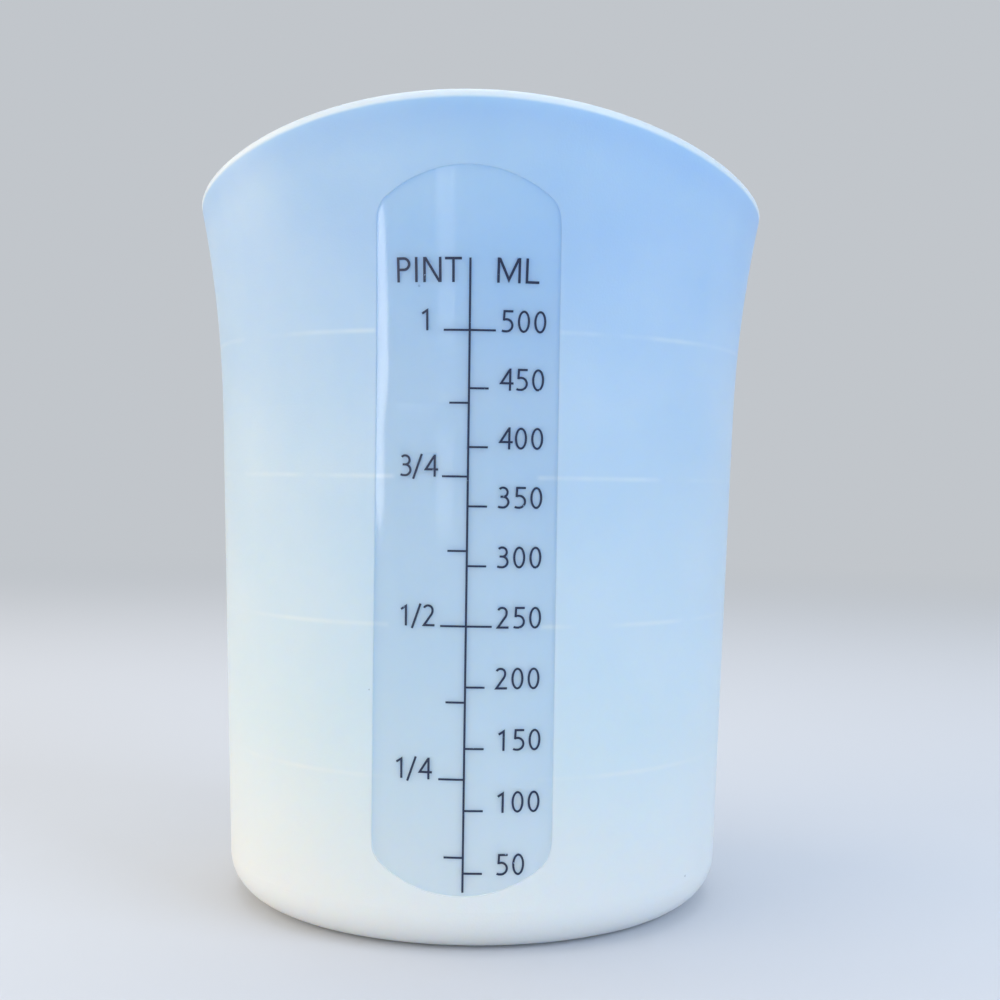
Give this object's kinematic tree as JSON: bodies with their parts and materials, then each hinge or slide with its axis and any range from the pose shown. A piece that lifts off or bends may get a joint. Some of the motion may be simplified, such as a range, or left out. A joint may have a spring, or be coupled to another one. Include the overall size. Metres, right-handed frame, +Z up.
{
  "type": "resin mixing cup",
  "caption": "Tall translucent silicone mixing cup with a waved, flared rim and a polished front panel that carries a printed volume scale.",
  "frame": {"origin": "centre of the flat base, on the surface the cup stands on", "axes": "+Z up along the cup's axis, the printed scale looks along -Y, and the two low pouring lips are at +X and -X"},
  "size_m": [0.098, 0.1022, 0.1283],
  "materials": {
    "silicone": "satin, translucent, moulded",
    "scale_ink": "printed ink"
  },
  "bodies": {
    "root": {"cup_body": "silicone", "heading_ml": "scale_ink", "heading_pint": "scale_ink", "ml_ticks": "scale_ink", "number_100": "scale_ink", "number_150": "scale_ink", "number_200": "scale_ink", "number_250": "scale_ink", "number_300": "scale_ink", "number_350": "scale_ink", "number_400": "scale_ink", "number_450": "scale_ink", "number_50": "scale_ink", "number_500": "scale_ink", "number_half_pint": "scale_ink", "number_quarter_pint": "scale_ink", "number_three_quarter_pint": "scale_ink", "number_whole_pint": "scale_ink", "pint_ticks": "scale_ink", "scale_line": "scale_ink"}
  },
  "joints": []
}
